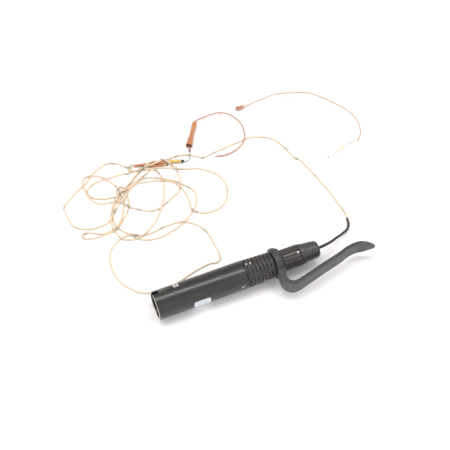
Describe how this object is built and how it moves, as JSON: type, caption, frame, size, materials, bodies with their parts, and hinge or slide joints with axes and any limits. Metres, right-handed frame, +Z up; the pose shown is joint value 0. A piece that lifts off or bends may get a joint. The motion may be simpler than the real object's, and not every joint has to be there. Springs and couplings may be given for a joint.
{
  "type": "headset microphone",
  "caption": "Headset microphone: slim boom with a mesh-capped capsule, ear hook, thin cable with a repaired joint, and a tubular three-pin powering adapter with a belt clip.",
  "frame": {"origin": "on the table, under the middle of the box round the adapter, ear hook and boom", "axes": "+Z up from the table, +Y away from the viewer across the table, +X to the right; the adapter's axis lies 22 degrees from +X towards +Y"},
  "size_m": [0.2106, 0.1902, 0.0206],
  "materials": {
    "satin_black_metal": "satin black paint on turned metal, worn to bright metal at the edges",
    "insert_plastic": "matt black moulded insert",
    "gold_contact": "thinly gold-plated contacts",
    "steel": "bright steel",
    "board": "green circuit board",
    "capacitor_can": "sleeved aluminium can",
    "component_plastic": "black moulded component",
    "copper": "enamelled copper",
    "grip_rubber": "ribbed black rubber",
    "clip_plastic": "dark grey moulded plastic with a faint sheen",
    "brass": "turned brass",
    "insulator": "off-white insulator",
    "relief_rubber": "black rubber with a spiral rib",
    "cable_jacket": "beige cable jacket with grey-green worn patches",
    "heat_shrink": "red-brown heat-shrink tube",
    "gold_lacquer": "gold-coloured barrel",
    "thin_lead_jacket": "grey lead jacket",
    "green_jacket": "green wire insulation",
    "ear_wire_coating": "copper-pink coated wire",
    "boom_coating": "skin-coloured coating, cream at the neck",
    "ivory_tube": "pale ivory translucent tube",
    "mesh_metal": "fine metal mesh, skin-coloured",
    "label_film": "blank pale blue label film"
  },
  "bodies": {
    "root": {"xlr_shell": "satin_black_metal", "contact_insert": "insert_plastic", "contact_pin_1": "gold_contact", "contact_pin_2": "gold_contact", "contact_pin_3": "gold_contact", "insert_screw": "steel", "ground_tag": "gold_contact", "blank_label": "label_film", "circuit_board": "board", "supply_capacitor_1": "capacitor_can", "supply_capacitor_2": "capacitor_can", "buffer_transistor_1": "component_plastic", "buffer_transistor_2": "component_plastic", "radio_choke_1": "copper", "radio_choke_2": "copper", "signal_lead": "copper", "ground_lead": "copper", "grip_sleeve": "grip_rubber", "socket_body": "brass", "socket_insulator": "insulator", "socket_contact": "gold_contact", "plug_body": "brass", "plug_pin": "gold_contact", "cable_clamp": "steel", "end_cap": "satin_black_metal", "strain_relief": "relief_rubber", "cable": "cable_jacket", "rear_shrink_sleeve": "heat_shrink", "front_shrink_sleeve": "heat_shrink", "gold_barrel": "gold_lacquer", "barrel_tip": "relief_rubber", "front_barrel": "gold_lacquer", "front_barrel_tip": "relief_rubber", "thin_lead": "thin_lead_jacket", "lead_bead": "relief_rubber", "inner_lead": "thin_lead_jacket", "green_wire_end": "green_jacket", "white_wire_end": "insulator", "ear_hook_sleeve": "heat_shrink", "boom_sleeve": "ivory_tube"},
    "clip": {"belt_clip": "clip_plastic"},
    "nut": {"lock_nut": "satin_black_metal"},
    "ear_hook": {"ear_hook_wire": "ear_wire_coating"},
    "boom": {"boom_tube": "boom_coating", "capsule_neck": "boom_coating", "capsule_housing": "brass", "capsule_diaphragm": "brass", "capsule_backplate": "steel", "capsule_amplifier": "component_plastic"},
    "cap": {"mesh_cap": "mesh_metal"}
  },
  "joints": [
    {"name": "clip_swivel", "type": "hinge", "parent": "root", "child": "clip", "pos_m": [0.0086, -0.05454, 0.01033], "axis": [-0.9271, -0.3746, -0.0097], "range_deg": [-8, 130]},
    {"name": "lock_nut_turn", "type": "hinge", "parent": "root", "child": "nut", "pos_m": [0.01745, -0.05097, 0.01042], "axis": [-0.9271, -0.3746, -0.0097], "continuous": true},
    {"name": "ear_hook_swivel", "type": "hinge", "parent": "root", "child": "ear_hook", "pos_m": [-0.04742, 0.06912, 0.0019], "axis": [-0.1748, -0.9843, 0.0253], "range_deg": [0, 150]},
    {"name": "boom_swivel", "type": "hinge", "parent": "root", "child": "boom", "pos_m": [0.06915, 0.05396, 0.00125], "axis": [0.9386, 0.3451, 0], "range_deg": [0, 90]},
    {"name": "mesh_cap_pull", "type": "slide", "parent": "boom", "child": "cap", "axis": [-0.9207, -0.3895, -0.0236], "range_m": [0, 0.005]}
  ]
}
